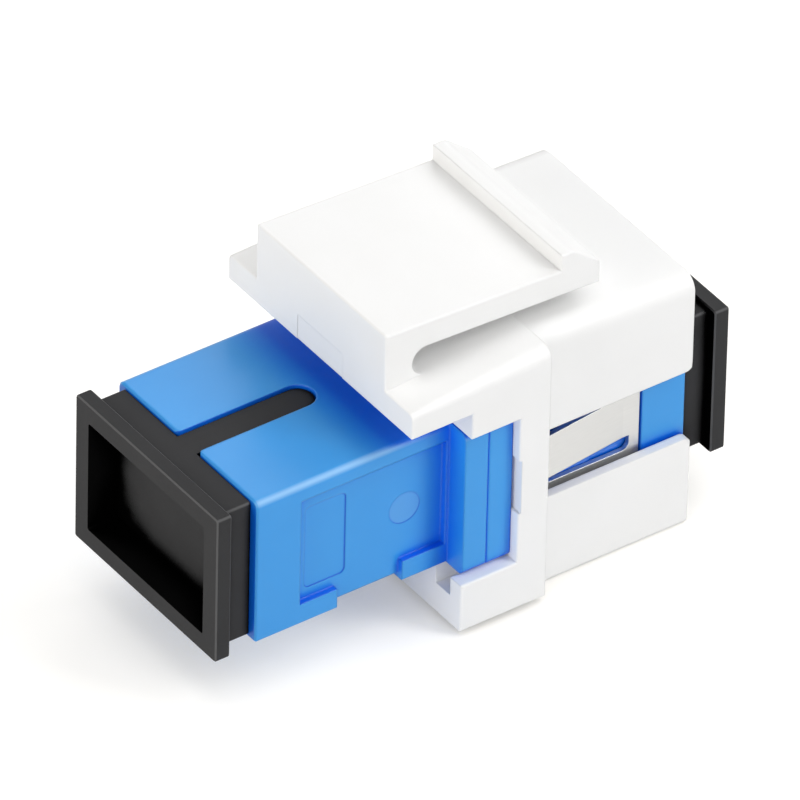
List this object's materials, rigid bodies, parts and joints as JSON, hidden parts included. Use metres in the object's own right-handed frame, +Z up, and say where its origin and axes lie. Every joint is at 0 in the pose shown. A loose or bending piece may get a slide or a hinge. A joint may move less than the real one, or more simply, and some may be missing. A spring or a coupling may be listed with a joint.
{
  "type": "fibre keystone jack",
  "caption": "Snap-in panel jack that joins two SC fibre connectors, with a latch arm, a clipped-in adapter and a dust cap in each port.",
  "frame": {"origin": "middle of the adapter on the fibre axis", "axes": "+Y along the fibre axis to the user's side of the panel, +Z up to the latch arm, +X to the side"},
  "size_m": [0.0172, 0.0336, 0.0207],
  "materials": {
    "white_plastic": "satin",
    "blue_plastic": "satin",
    "holder_plastic": "satin",
    "zirconia": "polished",
    "spring_steel": "bright",
    "black_plastic": "satin"
  },
  "bodies": {
    "jack": {"keystone_housing": "white_plastic", "adapter_rear_half": "blue_plastic", "adapter_front_half": "blue_plastic", "sleeve_holder_rear": "holder_plastic", "sleeve_holder_front": "holder_plastic", "alignment_sleeve": "zirconia", "mounting_clip": "spring_steel"},
    "rear_cap": {"dust_cap_rear": "black_plastic"},
    "front_cap": {"dust_cap_front": "black_plastic"}
  },
  "joints": [
    {"name": "rear_cap_pull", "type": "slide", "parent": "jack", "child": "rear_cap", "axis": [0, -1, 0], "range_m": [0, 0.02]},
    {"name": "front_cap_pull", "type": "slide", "parent": "jack", "child": "front_cap", "axis": [0, 1, 0], "range_m": [0, 0.02]}
  ]
}
